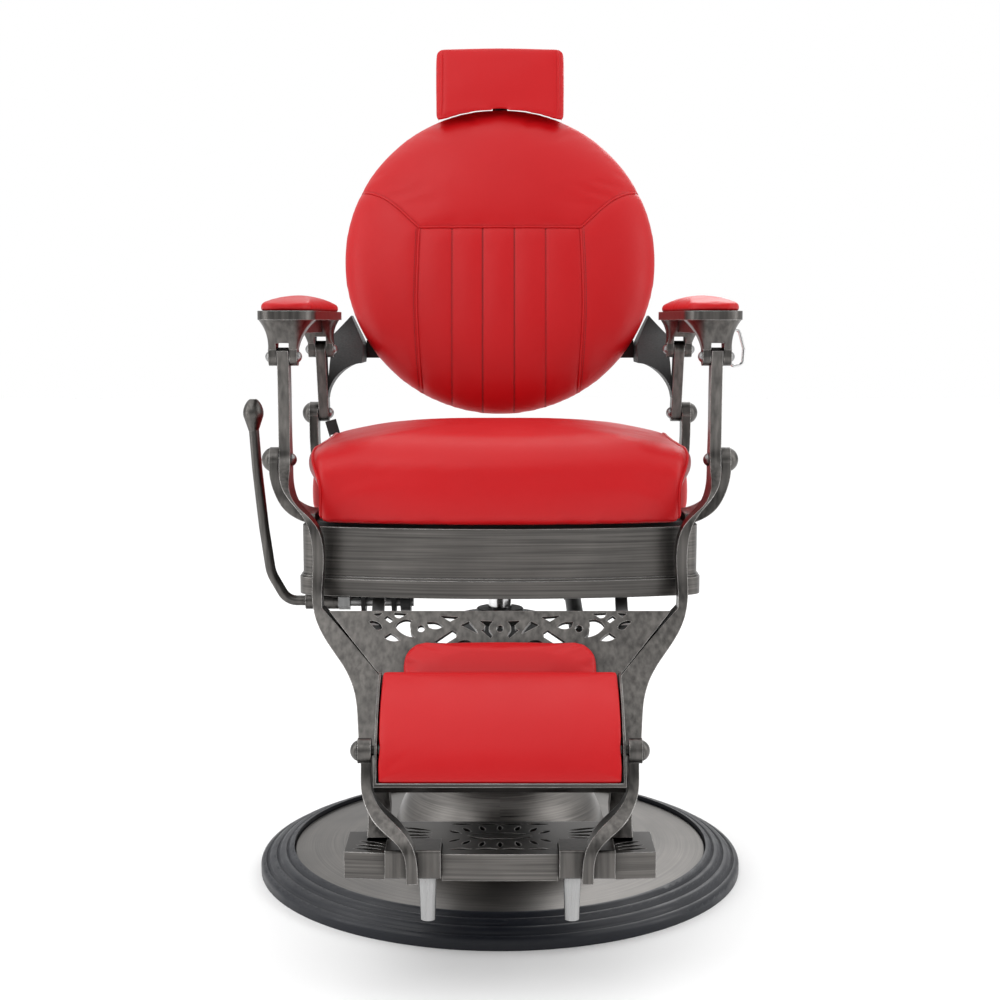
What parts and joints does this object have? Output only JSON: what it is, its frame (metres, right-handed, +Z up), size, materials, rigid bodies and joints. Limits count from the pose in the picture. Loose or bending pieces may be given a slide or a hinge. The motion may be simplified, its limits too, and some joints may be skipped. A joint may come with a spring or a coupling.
{
  "type": "hydraulic barber chair",
  "caption": "Padded barber chair on a round base with a lifting, turning column, reclining back, linked leg rest, flip foot pad and adjustable headrest.",
  "frame": {"origin": "on the floor, at the middle of the base plate underside, on the swivel axis", "axes": "+Z up, -Y the way the sitter faces, +X to the right as seen by someone facing the chair"},
  "size_m": [0.7032, 0.8878, 1.2237],
  "materials": {
    "antique_metal": "antique gunmetal casting, brushed and lacquered, with edges worn brighter",
    "frame_metal": "antique gunmetal, brushed lengthwise",
    "base_metal": "antique gunmetal, brushed in circles",
    "tank_paint": "satin dark paint",
    "black_casting": "black textured coating",
    "steel": "plain steel",
    "chrome": "polished chrome",
    "polished_metal": "polished, faintly brushed",
    "ring_rubber": "satin moulded rubber",
    "red_vinyl": "fine grained upholstery vinyl, semi matte",
    "black_cloth": "woven tab",
    "black_plastic": "moulded",
    "plywood": "plywood"
  },
  "bodies": {
    "base": {"base_plate": "base_metal", "base_ring": "ring_rubber", "column_bell": "base_metal", "pump_tank": "tank_paint", "pump_cylinder": "steel", "gland_collar": "tank_paint", "tank_bolts": "steel"},
    "ram": {"ram": "chrome", "thrust_bearing": "steel"},
    "seat": {"swivel_head": "black_casting", "seat_frame": "frame_metal", "seat_beams": "black_casting", "seat_board": "plywood", "seat_cushion": "red_vinyl", "pull_tab": "black_cloth", "front_brackets": "antique_metal", "rear_brackets": "antique_metal", "pivot_caps": "antique_metal", "pivot_bolts": "chrome", "leg_stops": "black_casting", "stop_bumpers": "ring_rubber", "spring_anchor": "black_casting", "lever_bearings": "black_casting", "seat_screws": "steel"},
    "pump_lever": {"lever_arm": "antique_metal", "lever_shaft": "steel", "lever_cam": "steel", "lever_nut": "chrome"},
    "legs": {"front_post_left": "antique_metal", "front_post_right": "antique_metal", "leg_panel": "antique_metal", "calf_pad": "red_vinyl", "spring_lug": "black_casting", "footboard": "antique_metal", "footboard_blocks": "antique_metal", "foot_pegs": "polished_metal", "pad_arms": "antique_metal"},
    "flip_pad": {"pad_tray": "antique_metal", "foot_pad": "red_vinyl", "pad_pins": "antique_metal"},
    "backrest": {"back_links": "antique_metal", "back_brackets": "black_casting", "back_plate": "black_casting", "back_board": "plywood", "back_cushion": "red_vinyl", "back_cover": "red_vinyl", "headrest_socket": "black_casting", "socket_knob": "black_plastic"},
    "headrest_post": {"headrest_bar": "chrome"},
    "headrest": {"headrest_plate": "black_casting", "headrest_cushion": "red_vinyl"},
    "armrests": {"armrest_left": "antique_metal", "armrest_right": "antique_metal", "arm_pad_left": "red_vinyl", "arm_pad_right": "red_vinyl", "arm_pins": "chrome", "trigger_mount": "black_casting"},
    "release_trigger": {"trigger_loop": "steel"},
    "spring_body": {"spring_barrel": "black_casting"},
    "spring_rod_body": {"spring_rod": "chrome"}
  },
  "joints": [
    {"name": "seat_lift", "type": "slide", "parent": "base", "child": "ram", "axis": [0, 0, 1], "range_m": [0, 0.17]},
    {"name": "seat_swivel", "type": "hinge", "parent": "ram", "child": "seat", "pos_m": [0, 0, 0.44], "axis": [0, 0, 1], "continuous": true},
    {"name": "pump_stroke", "type": "hinge", "parent": "seat", "child": "pump_lever", "pos_m": [0, -0.1, 0.406], "axis": [1, 0, 0], "range_deg": [-22, 22], "stiffness_Nm_per_rad": 8},
    {"name": "recline", "type": "hinge", "parent": "seat", "child": "backrest", "pos_m": [0, 0.165, 0.652], "axis": [-1, 0, 0], "range_deg": [0, 35]},
    {"name": "leg_lift", "type": "hinge", "parent": "seat", "child": "legs", "pos_m": [0, -0.15, 0.607], "axis": [-1, 0, 0], "range_deg": [0, 26]},
    {"name": "arm_level", "type": "hinge", "parent": "backrest", "child": "armrests", "pos_m": [0, 0.13, 0.75], "axis": [-1, 0, 0], "range_deg": [-36, 0]},
    {"name": "headrest_height", "type": "slide", "parent": "backrest", "child": "headrest_post", "axis": [0, 0.2079, 0.9781], "range_m": [0, 0.08]},
    {"name": "headrest_tilt", "type": "hinge", "parent": "headrest_post", "child": "headrest", "pos_m": [0, 0.36254, 1.15544], "axis": [-1, 0, 0], "range_deg": [0, 25]},
    {"name": "pad_flip", "type": "hinge", "parent": "legs", "child": "flip_pad", "pos_m": [0, -0.44, 0.285], "axis": [1, 0, 0], "range_deg": [0, 140]},
    {"name": "release_pull", "type": "hinge", "parent": "armrests", "child": "release_trigger", "pos_m": [0.306, -0.11, 0.781], "axis": [0, -1, 0], "range_deg": [0, 15], "stiffness_Nm_per_rad": 1},
    {"name": "spring_barrel_turn", "type": "hinge", "parent": "seat", "child": "spring_body", "pos_m": [0.11, 0.12, 0.38], "axis": [-1, 0, 0], "range_deg": [0, 12]},
    {"name": "spring_rod_turn", "type": "hinge", "parent": "legs", "child": "spring_rod_body", "pos_m": [0.11, -0.3, 0.33], "axis": [-1, 0, 0], "range_deg": [-15, 0]}
  ],
  "couplings": [
    {"joint": "leg_lift", "follows": "recline", "ratio": 0.72},
    {"joint": "arm_level", "follows": "recline", "ratio": -1},
    {"joint": "spring_barrel_turn", "follows": "recline", "ratio": 0.319},
    {"joint": "spring_rod_turn", "follows": "recline", "ratio": -0.401}
  ]
}
